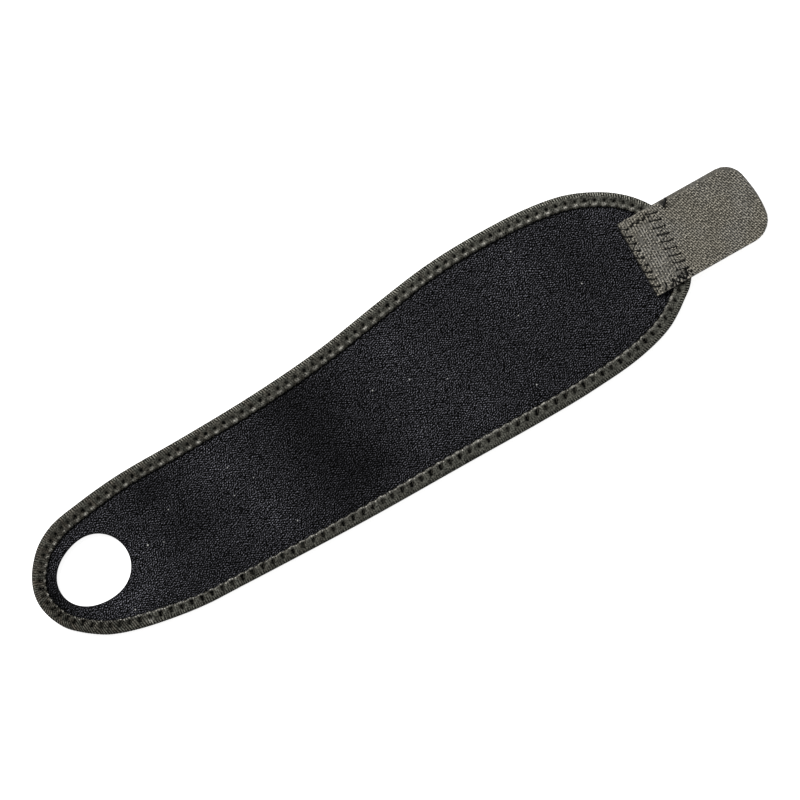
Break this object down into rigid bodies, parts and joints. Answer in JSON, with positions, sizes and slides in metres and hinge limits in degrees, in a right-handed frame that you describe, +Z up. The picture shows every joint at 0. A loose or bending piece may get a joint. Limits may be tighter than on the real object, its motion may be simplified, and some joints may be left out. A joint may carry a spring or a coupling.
{
  "type": "wrist thumb brace",
  "caption": "Flat wrap-round wrist brace: a soft foam panel with a thumb hole, bound edge and a hook-tape closing tab, lying open with its skin side up.",
  "frame": {"origin": "on the surface it lies on, under the middle of its bounding box", "axes": "+X along the brace from the thumb end to the tip of the hook tab, +Z up out of the skin side"},
  "size_m": [0.3812, 0.0901, 0.0058],
  "materials": {
    "panel_foam": "black knit-faced foam rubber, matt, with a fine slanting grain",
    "binding_tape": "dark olive grey ribbed binding tape, zigzag stitched",
    "hook_tape": "warm grey woven tape with a field of moulded hooks, slightly shiny"
  },
  "bodies": {
    "root": {"panel": "panel_foam", "edge_binding": "binding_tape", "hook_tab": "hook_tape"}
  },
  "joints": []
}
